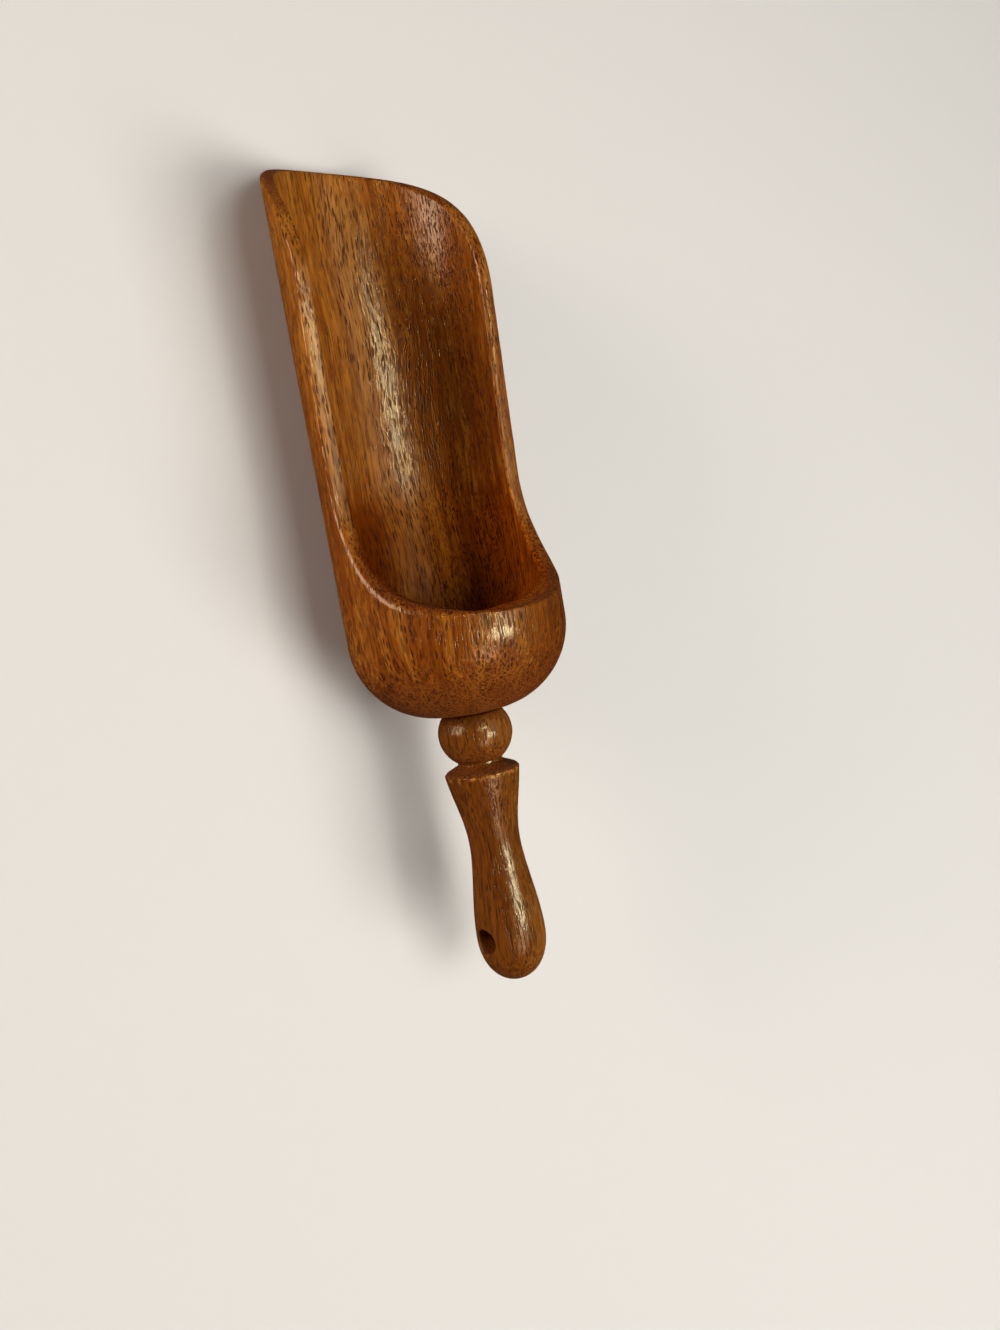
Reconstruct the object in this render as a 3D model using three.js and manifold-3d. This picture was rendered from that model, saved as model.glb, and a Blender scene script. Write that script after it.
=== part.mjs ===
// A wooden scoop: a turned bowl cut open along one side, with a turned handle glued into its base.
// Millimetres. The scoop lies on its back, opening upwards (+Z), with +X along its axis towards the tip.
// Lengths along the axis are counted from the seat, the small flat on the bowl's base that the handle's
// bead meets: positive into the bowl, negative down the handle. The origin of the finished group is the
// middle of the scoop's length and width, on the surface that it lies on.
import * as THREE from "three";
import { mergeVertices, toCreasedNormals } from "three/addons/utils/BufferGeometryUtils.js";
import Module from "manifold-3d";

// Bowl, outside: a domed base of two arcs that runs into a plain cylinder.
const BOWL_RADIUS = 27.5;
const CROWN_RADIUS = 66;
const KNUCKLE_RADIUS = 21;
const SEAT_RADIUS = 7.9;
const BLANK_LENGTH = 150;

// Bowl, inside: a round-ended bore that widens a little towards the tip.
const FLOOR_DEPTH = 12;
const FLOOR_ROUNDING = 21.5;
const BORE_RADIUS = 23.1;
const BORE_DRAFT = 0.0115;

// The side cut, sawn square to the side view: heights are measured from the axis.
const LIP_LEAN = 25.5 * THREE.MathUtils.DEG2RAD;
const SWEEP_RADIUS = 31.9;
const EDGE_START = 59.2;
const EDGE_HEIGHT = 0.3;
const EDGE_RISE = 0.0535;
const TIP_START = 107.3;
const TIP_LENGTH = 46.2;
const TIP_DROP = 70.7;

// Socket in the base and the tenon that fills it, with a glue gap all round.
const TENON_RADIUS = 5;
const TENON_LENGTH = 8;
const TENON_CHAMFER = 0.6;
const GLUE_GAP = 0.3;

// Handle: bead, groove, collar, cone, waist and grip.
const BEAD_RADIUS = 9.45;
const BEAD_HALF_LENGTH = 8.8;
const BEAD_CENTRE = 5.5;
const GROOVE_START = 12.5;
const GROOVE_END = 13.2;
const COLLAR_START = 14.7;
const COLLAR_EDGE = 15.4;
const COLLAR_FACE_RADIUS = 8.9;
const COLLAR_RADIUS = 9.6;
const WAIST_AT = 34.2;
const WAIST_RADIUS = 6.55;
const GRIP_AT = 58.3;
const GRIP_RADIUS = 8.9;
const HANDLE_LENGTH = 70.2;

// How far the handle's curves run on at each joint: along the axis, and down for the cone's slope.
const CONE_RUN = 7.5;
const CONE_FALL = 1.1;
const WAIST_RUN = 7;
const GRIP_RUN = 8.7;
const END_RUN = 6.8;
const END_FLATNESS = 0.6;

// Hanging hole, drilled across the grip and turned a little from side to side.
const HOLE_RADIUS = 3.2;
const HOLE_AT = 57.9;
const HOLE_TURN = 5 * THREE.MathUtils.DEG2RAD;

// Facets round each turned form, and along each curve.
const BOWL_SIDES = 88;
const HANDLE_SIDES = 44;
const HOLE_SIDES = 24;
const ARC_STEPS = 9;
const FLOOR_STEPS = 10;
const CUT_STEPS = 16;
const GRIP_STEPS = 9;

// How far cutting solids stand past what they cut, and the sharpest fold that is shaded smooth.
const MARGIN = 10;
const CREASE = 30 * THREE.MathUtils.DEG2RAD;

const wasm = await Module();
wasm.setup();

// A closed three.js geometry as a solid: vertices merged, faces without area dropped.
function solid(geometry) {
  const bare = geometry.clone();
  bare.deleteAttribute("normal");
  bare.deleteAttribute("uv");
  const merged = mergeVertices(bare, 1e-4);
  const index = merged.index.array;
  const triVerts = [];
  for (let i = 0; i < index.length; i += 3) {
    const [a, b, c] = index.slice(i, i + 3);
    if (a !== b && b !== c && c !== a) triVerts.push(a, b, c);
  }
  return new wasm.Manifold(
    new wasm.Mesh({
      numProp: 3,
      vertProperties: merged.attributes.position.array,
      triVerts: new Uint32Array(triVerts),
    }),
  );
}

// A solid as a named mesh: turned faces shade smooth, and rims and shoulders stay crisp.
function meshOf(made, name, material) {
  const { vertProperties, triVerts } = made.getMesh();
  const geometry = new THREE.BufferGeometry();
  geometry.setAttribute("position", new THREE.BufferAttribute(vertProperties, 3));
  geometry.setIndex(new THREE.BufferAttribute(triVerts, 1));
  const mesh = new THREE.Mesh(toCreasedNormals(geometry, CREASE), material);
  mesh.name = name;
  return mesh;
}

// Turns a profile of (axial, radius) points about the X axis, with one flat facet facing straight down.
function turned(profile, sides) {
  const points = profile.map(([axial, radius]) => new THREE.Vector2(radius, axial));
  const geometry = new THREE.LatheGeometry(points, sides, Math.PI / sides);
  return geometry.rotateZ(-Math.PI / 2);
}

// Points (axial, radius) on an arc about a centre, between two angles.
function arc(axial, radial, radius, from, to, steps) {
  return Array.from({ length: steps + 1 }, (_, i) => {
    const angle = from + ((to - from) * i) / steps;
    return [axial + radius * Math.cos(angle), radial + radius * Math.sin(angle)];
  });
}

// Points (axial, radius) on a smooth curve through two ends, with a handle point at each.
function curve(start, startHandle, endHandle, end, steps) {
  const ends = [start, startHandle, endHandle, end].map(([a, r]) => new THREE.Vector2(a, r));
  return new THREE.CubicBezierCurve(...ends).getPoints(steps).map(({ x, y }) => [x, y]);
}

// The outside of the bowl before it is cut: seat, crown arc, knuckle arc, cylinder.
function bowlBlank() {
  const crownStart = Math.asin(SEAT_RADIUS / CROWN_RADIUS);
  const crownCentre = CROWN_RADIUS * Math.cos(crownStart);
  const knuckleRadial = BOWL_RADIUS - KNUCKLE_RADIUS;
  const crownEnd = Math.asin(knuckleRadial / (CROWN_RADIUS - KNUCKLE_RADIUS));
  const knuckleAxial = crownCentre - (CROWN_RADIUS - KNUCKLE_RADIUS) * Math.cos(crownEnd);
  const crown = arc(crownCentre, 0, CROWN_RADIUS, Math.PI - crownStart, Math.PI - crownEnd, 1);
  const knuckle = arc(
    knuckleAxial, knuckleRadial, KNUCKLE_RADIUS, Math.PI - crownEnd, Math.PI / 2, ARC_STEPS,
  );
  const profile = [[0, 0], ...crown, ...knuckle.slice(1), [BLANK_LENGTH, BOWL_RADIUS], [BLANK_LENGTH, 0]];
  return solid(turned(profile, BOWL_SIDES));
}

// The bore: half an ellipse for its floor, then a cone that widens towards the tip.
function bowlBore() {
  const end = BLANK_LENGTH + MARGIN;
  const floorEnd = FLOOR_DEPTH + FLOOR_ROUNDING;
  const profile = [];
  for (let i = 0; i <= FLOOR_STEPS; i++) {
    const angle = (Math.PI / 2) * (i / FLOOR_STEPS);
    profile.push([floorEnd - FLOOR_ROUNDING * Math.cos(angle), BORE_RADIUS * Math.sin(angle)]);
  }
  profile.push([end, BORE_RADIUS + BORE_DRAFT * (end - floorEnd)], [end, 0]);
  return solid(turned(profile, BOWL_SIDES));
}

// The side cut: lip, sweep, trough edge and rounded tip, extruded square across the bowl.
function sideCut() {
  const rise = Math.atan(EDGE_RISE);
  const sweepX = EDGE_START - SWEEP_RADIUS * Math.sin(rise);
  const sweepZ = EDGE_HEIGHT + SWEEP_RADIUS * Math.cos(rise);
  const sweepTop = Math.PI + LIP_LEAN;
  const lipX = sweepX + SWEEP_RADIUS * Math.cos(sweepTop);
  const lipZ = sweepZ + SWEEP_RADIUS * Math.sin(sweepTop);
  const above = BOWL_RADIUS + MARGIN;
  const beyond = BLANK_LENGTH + MARGIN;
  const tipTop = EDGE_HEIGHT + EDGE_RISE * (TIP_START - EDGE_START);
  const tangent = Math.atan((TIP_LENGTH * EDGE_RISE) / TIP_DROP);
  const tipEnd = Math.asin((TIP_DROP - tipTop - above) / TIP_DROP);
  const outline = new THREE.Shape();
  outline.moveTo(lipX - (above - lipZ) * Math.tan(LIP_LEAN), above);
  outline.lineTo(lipX, lipZ);
  outline.absarc(sweepX, sweepZ, SWEEP_RADIUS, sweepTop, (3 * Math.PI) / 2 + rise, false);
  outline.absellipse(
    TIP_START, tipTop - TIP_DROP, TIP_LENGTH, TIP_DROP, Math.PI / 2 + tangent, tipEnd, true,
  );
  outline.lineTo(beyond, -above);
  outline.lineTo(beyond, above);
  const depth = 2 * above;
  const cutter = new THREE.ExtrudeGeometry(outline, { depth, bevelEnabled: false, curveSegments: CUT_STEPS });
  return solid(cutter.translate(0, 0, -depth / 2).rotateX(Math.PI / 2));
}

// The blind socket for the tenon, with a flat bottom as a drill leaves it.
function socket() {
  const radius = TENON_RADIUS + GLUE_GAP;
  const depth = TENON_LENGTH + GLUE_GAP;
  const drill = new THREE.CylinderGeometry(radius, radius, depth + MARGIN, HANDLE_SIDES);
  return solid(drill.rotateZ(-Math.PI / 2).translate((depth - MARGIN) / 2, 0, 0));
}

function bowl(material) {
  const made = bowlBlank().subtract(bowlBore()).subtract(sideCut()).subtract(socket());
  return meshOf(made, "scoop_bowl", material);
}

// The handle, turned in one piece from the tenon's end to the round end of the grip.
function handleBlank() {
  const shoulder = Math.acos((BEAD_CENTRE - GLUE_GAP) / BEAD_HALF_LENGTH);
  const neck = Math.acos((BEAD_CENTRE - GROOVE_START) / BEAD_HALF_LENGTH);
  const bead = [];
  for (let i = 0; i <= ARC_STEPS; i++) {
    const angle = shoulder + ((neck - shoulder) * i) / ARC_STEPS;
    bead.push([-BEAD_CENTRE + BEAD_HALF_LENGTH * Math.cos(angle), BEAD_RADIUS * Math.sin(angle)]);
  }
  const neckRadius = bead[ARC_STEPS][1];
  const cone = curve(
    [-COLLAR_EDGE, COLLAR_RADIUS],
    [-COLLAR_EDGE - CONE_RUN, COLLAR_RADIUS - CONE_FALL],
    [-WAIST_AT + WAIST_RUN, WAIST_RADIUS],
    [-WAIST_AT, WAIST_RADIUS],
    GRIP_STEPS,
  );
  const swell = curve(
    [-WAIST_AT, WAIST_RADIUS],
    [-WAIST_AT - WAIST_RUN, WAIST_RADIUS],
    [-GRIP_AT + GRIP_RUN, GRIP_RADIUS],
    [-GRIP_AT, GRIP_RADIUS],
    GRIP_STEPS,
  );
  const end = curve(
    [-GRIP_AT, GRIP_RADIUS],
    [-GRIP_AT - END_RUN, GRIP_RADIUS],
    [-HANDLE_LENGTH, END_FLATNESS * GRIP_RADIUS],
    [-HANDLE_LENGTH, 0],
    GRIP_STEPS,
  );
  const profile = [
    [TENON_LENGTH, 0],
    [TENON_LENGTH, TENON_RADIUS - TENON_CHAMFER],
    [TENON_LENGTH - TENON_CHAMFER, TENON_RADIUS],
    [-GLUE_GAP, TENON_RADIUS],
    ...bead,
    [-GROOVE_END, neckRadius],
    [-COLLAR_START, COLLAR_FACE_RADIUS],
    ...cone,
    ...swell.slice(1),
    ...end.slice(1),
  ];
  return solid(turned(profile.reverse(), HANDLE_SIDES));
}

// The hanging hole's drill, laid across the grip.
function hangingHole() {
  const drill = new THREE.CylinderGeometry(HOLE_RADIUS, HOLE_RADIUS, 4 * GRIP_RADIUS, HOLE_SIDES);
  return solid(drill.rotateX(HOLE_TURN).translate(-HOLE_AT, 0, 0));
}

function handle(material) {
  return meshOf(handleBlank().subtract(hangingHole()), "handle", material);
}

const bowlWood = new THREE.MeshStandardMaterial({ color: 0x8f4f1c, roughness: 0.35, metalness: 0 });
const handleWood = new THREE.MeshStandardMaterial({ color: 0x6e3514, roughness: 0.35, metalness: 0 });

const scoop = new THREE.Group();
scoop.add(bowl(bowlWood), handle(handleWood));
const box = new THREE.Box3().setFromObject(scoop);
scoop.position.set(-(box.min.x + box.max.x) / 2, 0, -box.min.z);

const part = new THREE.Group();
part.add(scoop);

export default part;
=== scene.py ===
"""A wooden scoop on its back on a pale floor: the bowl and the handle as smooth meshes of solid wood.

Shapes are worked out in millimetres in the scoop's own axes. x runs along the axis from the seat, where the
handle's bead meets the bowl, towards the tip. z points up out of the opening and y to the left when looking
towards the tip, both from the axis. Each mesh is moved into the frame, in metres, when it is built.
"""
import math

import bpy
import numpy as np
from mathutils import Matrix, Vector, noise


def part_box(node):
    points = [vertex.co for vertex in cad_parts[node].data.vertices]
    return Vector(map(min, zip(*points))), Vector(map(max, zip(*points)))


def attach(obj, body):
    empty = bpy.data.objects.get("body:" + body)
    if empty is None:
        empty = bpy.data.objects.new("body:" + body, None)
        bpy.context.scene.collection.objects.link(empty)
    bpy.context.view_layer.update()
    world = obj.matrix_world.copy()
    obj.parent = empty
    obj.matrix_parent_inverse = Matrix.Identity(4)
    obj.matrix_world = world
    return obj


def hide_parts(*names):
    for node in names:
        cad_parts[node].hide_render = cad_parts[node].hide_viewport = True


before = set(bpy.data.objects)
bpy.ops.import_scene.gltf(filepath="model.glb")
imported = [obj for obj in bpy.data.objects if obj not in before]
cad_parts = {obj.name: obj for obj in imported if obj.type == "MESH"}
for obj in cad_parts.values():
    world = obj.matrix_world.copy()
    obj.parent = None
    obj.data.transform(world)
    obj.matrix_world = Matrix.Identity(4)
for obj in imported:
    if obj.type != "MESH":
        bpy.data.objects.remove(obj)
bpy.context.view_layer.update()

MM = 0.001

# A radius that counts as none.
ON_AXIS = 1e-6

# The scoop's two halves, as signs of y.
LEFT = 1
RIGHT = -1

# Bowl, outside: a domed base of two arcs that runs into a plain cylinder.
BOWL_RADIUS = 27.5
CROWN_RADIUS = 66.0
KNUCKLE_RADIUS = 21.0
SEAT_RADIUS = 7.9

# Bowl, inside: a round-ended bore that widens a little towards the tip.
FLOOR_DEPTH = 12.0
FLOOR_ROUNDING = 21.5
BORE_RADIUS = 23.1
BORE_DRAFT = 0.0115

# The side cut, seen from the side: a leaning lip, a sweep, a long edge and a rounded tip.
LIP_LEAN = math.radians(25.5)
SWEEP_RADIUS = 31.9
EDGE_START = 59.2
EDGE_HEIGHT = 0.3
EDGE_RISE = 0.0535
TIP_START = 107.3
TIP_LENGTH = 46.2
TIP_DROP = 70.7

# Socket in the base and the tenon that fills it.
TENON_RADIUS = 5.0
TENON_LENGTH = 8.0
TENON_CHAMFER = 0.6
GLUE_GAP = 0.3

# Handle: bead, groove, collar, cone, waist and grip, and how far its curves run on at each joint.
BEAD_RADIUS = 9.45
BEAD_HALF_LENGTH = 8.8
BEAD_CENTRE = 5.5
GROOVE_START = 12.5
GROOVE_END = 13.2
COLLAR_START = 14.7
COLLAR_EDGE = 15.4
COLLAR_FACE_RADIUS = 8.9
COLLAR_RADIUS = 9.6
WAIST_AT = 34.2
WAIST_RADIUS = 6.55
GRIP_AT = 58.3
GRIP_RADIUS = 8.9
HANDLE_LENGTH = 70.2
CONE_RUN = 7.5
CONE_FALL = 1.1
WAIST_RUN = 7.0
GRIP_RUN = 8.7
END_RUN = 6.8
END_FLATNESS = 0.6
HOLE_RADIUS = 3.2
HOLE_AT = 57.9
HOLE_TURN = math.radians(5)

# The scoop's seat in the frame.
handle_low, handle_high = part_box("handle")
SEAT = Vector((handle_low.x + HANDLE_LENGTH * MM, 0, (handle_low.z + handle_high.z) / 2))


def placed(name, data):
    """A new object in the scene."""
    thing = bpy.data.objects.new(name, data)
    bpy.context.scene.collection.objects.link(thing)
    return thing


class Skin:
    """A closed skin made of rings of points, each linked to the one before it.

    Seen from outside the wood, rings follow each other to the right where the points of a ring run upwards.
    Places are counted back from a ring's end where its last point is followed by its first.
    """

    def __init__(self):
        self.points = []
        self.faces = []
        self.last = None

    def add(self, points):
        """Adds points and gives their numbers."""
        start = len(self.points)
        self.points.extend(points)
        return list(range(start, len(self.points)))

    def ring(self, points):
        """Adds a ring, or a single point for a pole, and links it to the last one."""
        numbers = self.add(points)
        if self.last is not None:
            self.link(self.last, numbers)
        self.last = numbers
        return numbers

    def link(self, first, second):
        """Faces between two rings of equal number, of double or half the number, or a ring and a pole."""
        a, b = len(first), len(second)
        if a == b:
            self.faces += [(first[j - 1], second[j - 1], second[j], first[j]) for j in range(1 - a, 1)]
        elif a < b:
            self.faces += fan(first, second)
        else:
            self.faces += [(j, i, k) for i, j, k in fan(second, first)]

    def mesh(self, name):
        """The skin as a smooth mesh object in the frame."""
        mesh = bpy.data.meshes.new(name)
        mesh.from_pydata([tuple(p) for p in self.points], [], self.faces)
        mesh.validate()
        mesh.transform(Matrix.Translation(SEAT) @ Matrix.Scale(MM, 4))
        mesh.polygons.foreach_set("use_smooth", [True] * len(mesh.polygons))
        mesh.update()
        return placed(name, mesh)


def fan(few, many):
    """Triangles from a pole to a ring, or from a ring to one of double the number."""
    if len(few) == 1:
        return [(few[0], many[j], many[j + 1 - len(many)]) for j in range(len(many))]
    faces = []
    for j in range(len(few)):
        start, end = few[j], few[j + 1 - len(few)]
        left, middle, right = many[2 * j], many[2 * j + 1], many[2 * j + 2 - len(many)]
        faces += [(start, left, middle), (start, middle, end), (end, middle, right)]
    return faces


def eased(corners, steps=4):
    """A line (x, radius) through corners (x, radius, easing), each corner rounded with its easing radius."""
    line = []
    for i, (x, r, easing) in enumerate(corners):
        here = np.array([x, r], float)
        if easing == 0 or i in (0, len(corners) - 1):
            line.append(here)
            continue
        back = np.array(corners[i - 1][:2]) - here
        ahead = np.array(corners[i + 1][:2]) - here
        back /= np.hypot(*back)
        ahead /= np.hypot(*ahead)
        half = math.acos(np.clip(back @ ahead, -1, 1)) / 2
        centre = here + (back + ahead) / np.hypot(*(back + ahead)) * easing / math.sin(half)
        start = here + back * easing / math.tan(half) - centre
        end = here + ahead * easing / math.tan(half) - centre
        for step in range(steps + 1):
            spoke = start + (end - start) * step / steps
            line.append(centre + spoke / np.hypot(*spoke) * easing)
    return [(float(x), float(r)) for x, r in line]


def bezier(start, start_handle, end_handle, end, steps):
    """Points (x, radius) on a smooth curve through two ends, with a handle point at each."""
    ends = np.array([start, start_handle, end_handle, end], float)
    line = []
    for i in range(steps + 1):
        t = i / steps
        weights = np.array([(1 - t) ** 3, 3 * t * (1 - t) ** 2, 3 * t * t * (1 - t), t ** 3])
        line.append(tuple(weights @ ends))
    return line


def arc(centre_x, centre_r, radius, start, end, steps):
    """Points (x, radius) on an arc about a centre, between two angles."""
    angles = np.linspace(start, end, steps + 1)
    return [(centre_x + radius * math.cos(a), centre_r + radius * math.sin(a)) for a in angles]


def rounding(points, skin, face, easing, steps):
    """Rows of points round the eased edge of two surfaces, given by their unit normals, from skin to face."""
    cosine = (skin * face).sum(1)[:, None]
    angle = np.arccos(cosine)
    centre = points - easing * (skin + face) / (1 + cosine)
    rows = []
    for step in range(steps + 1):
        t = step / steps
        spoke = (np.sin((1 - t) * angle) * skin + np.sin(t * angle) * face) / np.sin(angle)
        rows.append(centre + easing * spoke)
    return rows


def spun(x, radius, angles):
    """Points at a radius from the axis, at angles that run from the top to the left side."""
    return np.column_stack([x + 0 * angles, radius * np.sin(angles), radius * np.cos(angles)])


def angles_of(points):
    """The angles of points about the axis, from the top to the left side."""
    return np.arctan2(points[:, 1], points[:, 2])


def fewer(columns, radius, halvings):
    """The columns of a small ring: halved below each radius in halvings, and one on the axis."""
    if radius < ON_AXIS:
        return 1
    return columns >> sum(radius < least for least in halvings)


# Bowl

# How finely the bowl is divided, with half the columns below each halving radius. The walls run between the
# rim and start circles at one x outside and one inside, with their angles spread by knots (share, degrees).
RIM_COLUMNS = 512
KNUCKLE_HALVINGS = (20.0, 12.0)
FLOOR_HALVINGS = (13.0, 7.0, 3.5, 2.0, 1.0)
WALL_ROWS = 44
FACE_ROWS = 10
EASING_ROWS = 6
KNUCKLE_ROWS = 30
FLOOR_ROWS = 24
START_OUTSIDE = 16.0
START_INSIDE = 22.0
START_SPREAD = ((0, 0), (0.22, 68), (0.3, 102), (0.62, 126), (1, 180))
WALL_GRADING = 1.35

# How finely the cut's line is divided, and how far it runs on above the lip.
SWEEP_POINTS = 500
LIP_POINTS = 60
LIP_RUN = 20
TIP_POINTS = 1200

# The socket's and the seat's eased corners, and the angle by which the crown starts past the last of them.
SOCKET_EASING = 0.15
SOCKET_MOUTH_EASING = 0.25
SEAT_EASING = 0.5
PAST_SEAT = 0.01

# Wear and tool marks. Places along the rim are shares of its half's length, from the lip (0) to the tip (1).
EDGE_WEAR = 0.9
CHIP_AT = 0.597
CHIP_REACH = 0.008
CHIP_BREADTH = 1.1
CHIP_DEPTH = 0.45
CHIP_ROW = 3
TOOL_MARK_HEIGHT = 0.06
TOOL_MARK_END = 0.17
TOOL_MARK_FADE = 0.05
TOOL_WAVES = (13, 25)
TOOL_ROUGHNESS = (9, 60)

# Each half of the rim in knots (share, value): how far its two edges are eased, the crown of its face in
# radians and how far the face is square to the wall, where 0 is flat across the scoop.
RIM = {
    LEFT: {
        "outer_easing": (
            (0, 0.5), (0.06, 0.8), (0.13, 2.6), (0.24, 2.4), (0.34, 1.2), (0.52, 0.8), (0.6, 0.5),
            (0.66, 0.9), (0.76, 0.9), (0.84, 0.8), (1, 0.6),
        ),
        "inner_easing": ((0, 0.5), (0.15, 0.35), (0.3, 0.4), (0.5, 0.6), (0.7, 0.3), (0.9, 0.25), (1, 0.5)),
        "crown": ((0, 0), (0.28, 0.04), (0.36, 0.12), (0.54, 0.12), (0.62, 0.05), (0.76, 0), (1, 0)),
        "square": ((0, 0.5), (0.05, 1), (0.26, 1), (0.4, 0), (1, 0)),
    },
    RIGHT: {
        "outer_easing": ((0, 0.5), (0.12, 0.5), (0.25, 0.9), (0.5, 0.9), (0.6, 0.7), (1, 0.6)),
        "inner_easing": (
            (0, 0.5), (0.1, 0.3), (0.3, 0.7), (0.5, 1.1), (0.6, 1.8), (0.8, 1.7), (0.88, 1.0), (1, 0.6),
        ),
        "crown": ((0, 0), (0.2, 0), (0.34, 0.15), (0.7, 0.15), (0.85, 0), (1, 0)),
        "square": (
            (0, 0.5), (0.05, 0.5), (0.1, 0.3), (0.15, 0.9), (0.3, 1), (0.4, 0.3), (0.5, 0), (1, 0),
        ),
    },
}
LEFT_WEAR = ((0, 0), (0.28, 0), (0.36, EDGE_WEAR), (0.56, EDGE_WEAR), (0.64, 0), (1, 0))


def crown_centre():
    """Place on the axis of the crown arc's centre."""
    return math.sqrt(CROWN_RADIUS ** 2 - SEAT_RADIUS ** 2)


def knuckle_centre():
    """Place (x, radius) of the knuckle arc's centre."""
    radial = BOWL_RADIUS - KNUCKLE_RADIUS
    return crown_centre() - math.sqrt((CROWN_RADIUS - KNUCKLE_RADIUS) ** 2 - radial ** 2), radial


def outer_radius(x):
    """Radius of the bowl's outside from the knuckle on."""
    centre, radial = knuckle_centre()
    before = np.clip(centre - x, 0, KNUCKLE_RADIUS)
    return radial + np.sqrt(KNUCKLE_RADIUS ** 2 - before ** 2)


def inner_radius(x):
    """Radius of the bore: half an ellipse for its floor, then a cone that widens towards the tip."""
    beyond = np.asarray(x) - FLOOR_DEPTH - FLOOR_ROUNDING
    share = np.clip(-beyond / FLOOR_ROUNDING, 0, 1)
    return BORE_RADIUS * np.sqrt(1 - share ** 2) + BORE_DRAFT * np.clip(beyond, 0, None)


class Cut:
    """The side cut as a fine line in the side view, from above the lip to below the tip."""

    def __init__(self):
        rise = math.atan(EDGE_RISE)
        sweep = np.linspace(math.pi + LIP_LEAN, 1.5 * math.pi + rise, SWEEP_POINTS)
        sweep_x = EDGE_START - SWEEP_RADIUS * math.sin(rise)
        sweep_z = EDGE_HEIGHT + SWEEP_RADIUS * math.cos(rise)
        x, z = sweep_x + SWEEP_RADIUS * np.cos(sweep), sweep_z + SWEEP_RADIUS * np.sin(sweep)
        lip = np.linspace(LIP_RUN, 0, LIP_POINTS)[:-1]
        tip_top = EDGE_HEIGHT + EDGE_RISE * (TIP_START - EDGE_START)
        tangent = math.atan(TIP_LENGTH * EDGE_RISE / TIP_DROP)
        tip = np.linspace(math.pi / 2 + tangent, 0, TIP_POINTS)
        tip_x = TIP_START + TIP_LENGTH * np.cos(tip)
        tip_z = tip_top - TIP_DROP + TIP_DROP * np.sin(tip)
        self.x = np.concatenate([x[0] - lip * math.sin(LIP_LEAN), x, tip_x])
        self.z = np.concatenate([z[0] + lip * math.cos(LIP_LEAN), z, tip_z])
        self.s = np.concatenate([[0], np.cumsum(np.hypot(np.diff(self.x), np.diff(self.z)))])

    def edge(self, radius, count=4000):
        """Fine points on the left edge where a turned surface meets the cut."""
        spare = radius(self.x) - np.abs(self.z)
        inside = np.flatnonzero(spare >= 0)
        first, last = inside[0], inside[-1]
        start = np.interp(0, spare[first - 1:first + 1], self.s[first - 1:first + 1])
        end = np.interp(0, spare[last:last + 2][::-1], self.s[last:last + 2][::-1])
        s = start + (end - start) * (1 - np.cos(np.linspace(0, math.pi, count))) / 2
        x, z = np.interp(s, self.s, self.x), np.interp(s, self.s, self.z)
        y = np.sqrt(np.clip(radius(x) ** 2 - z ** 2, 0, None))
        y[0] = y[-1] = 0
        return np.column_stack([x, y, z])


def runs(points):
    """Distance along a line of points."""
    return np.concatenate([[0], np.cumsum(np.linalg.norm(np.diff(points, axis=0), axis=1))])


def along(line, run, places):
    """Points on a line at distances along it."""
    return np.column_stack([np.interp(places, run, line[:, k]) for k in range(3)])


def unit(vectors):
    """Vectors of length 1 in the same directions."""
    return vectors / np.linalg.norm(vectors, axis=1)[:, None]


def skin_normal(points, radius, side):
    """Unit normals of a turned surface, out of the wood: side is 1 outside the bowl and -1 in its bore."""
    nudge = 0.01
    slope = (radius(points[:, 0] + nudge) - radius(points[:, 0] - nudge)) / (2 * nudge)
    reach = np.hypot(points[:, 1], points[:, 2])
    return unit(np.column_stack([-slope, points[:, 1] / reach, points[:, 2] / reach]) * side)


def on_skin(points, radius):
    """Points moved square to the axis onto a turned surface."""
    scale = radius(points[:, 0]) / np.hypot(points[:, 1], points[:, 2])
    return points * np.column_stack([np.ones(len(points)), scale, scale])


def softened(values, reach=5):
    """Values along one half of the rim, averaged with their neighbours, with the ends kept."""
    for _ in range(2):
        before = 2 * values[0] - values[reach:0:-1]
        after = 2 * values[-1] - values[-2:-reach - 2:-1]
        window = np.ones(2 * reach + 1) / (2 * reach + 1)
        values = np.convolve(np.concatenate([before, values, after]), window, "valid")
    return values


def along_rim(share, knots):
    """A value along one half of the rim, eased through knots (share, value)."""
    places, values = np.array(knots).T
    return softened(np.interp(share, places, values))


def uneven(run, seed, reach=6.0, amount=0.22):
    """Factors about 1 along the rim, for the unevenness of handwork."""
    return np.array([1 + amount * noise.noise((s / reach, seed, 0)) for s in run])


def partners(out, inner, square):
    """The inner edge's point for each outer one, from flat across the scoop (0) to square to the wall (1)."""
    inner_run = runs(inner)
    nearest = [((inner - point) ** 2).sum(1).argmin() for point in out]
    flat_run = softened(np.maximum.accumulate(inner_run[nearest]))
    flat_run = (flat_run - flat_run[0]) * inner_run[-1] / (flat_run[-1] - flat_run[0])
    flat = along(inner, inner_run, flat_run)
    x = flat[:, 0] + (out[:, 0] - flat[:, 0]) * square
    return spun(x, inner_radius(x), angles_of(flat) + (angles_of(out) - angles_of(flat)) * square)


def eased_edge(points, skin, face, radius, easing):
    """Rows of points round an eased edge, from the turned surface to the rim's face."""
    rows = rounding(points, skin, face, easing[:, None], EASING_ROWS)
    to_skin = on_skin(rows[0], radius) - rows[0]
    return [row + (1 - step / EASING_ROWS) * to_skin for step, row in enumerate(rows)]


def rim_direction(out):
    """Unit vectors along the outer edge, which runs on into its mirror image at both ends."""
    ends = [out[1] * [1, -1, 1], out[-2] * [1, -1, 1]]
    return unit(np.vstack([out[1:], ends[1:]]) - np.vstack([ends[:1], out[:-1]]))


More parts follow.
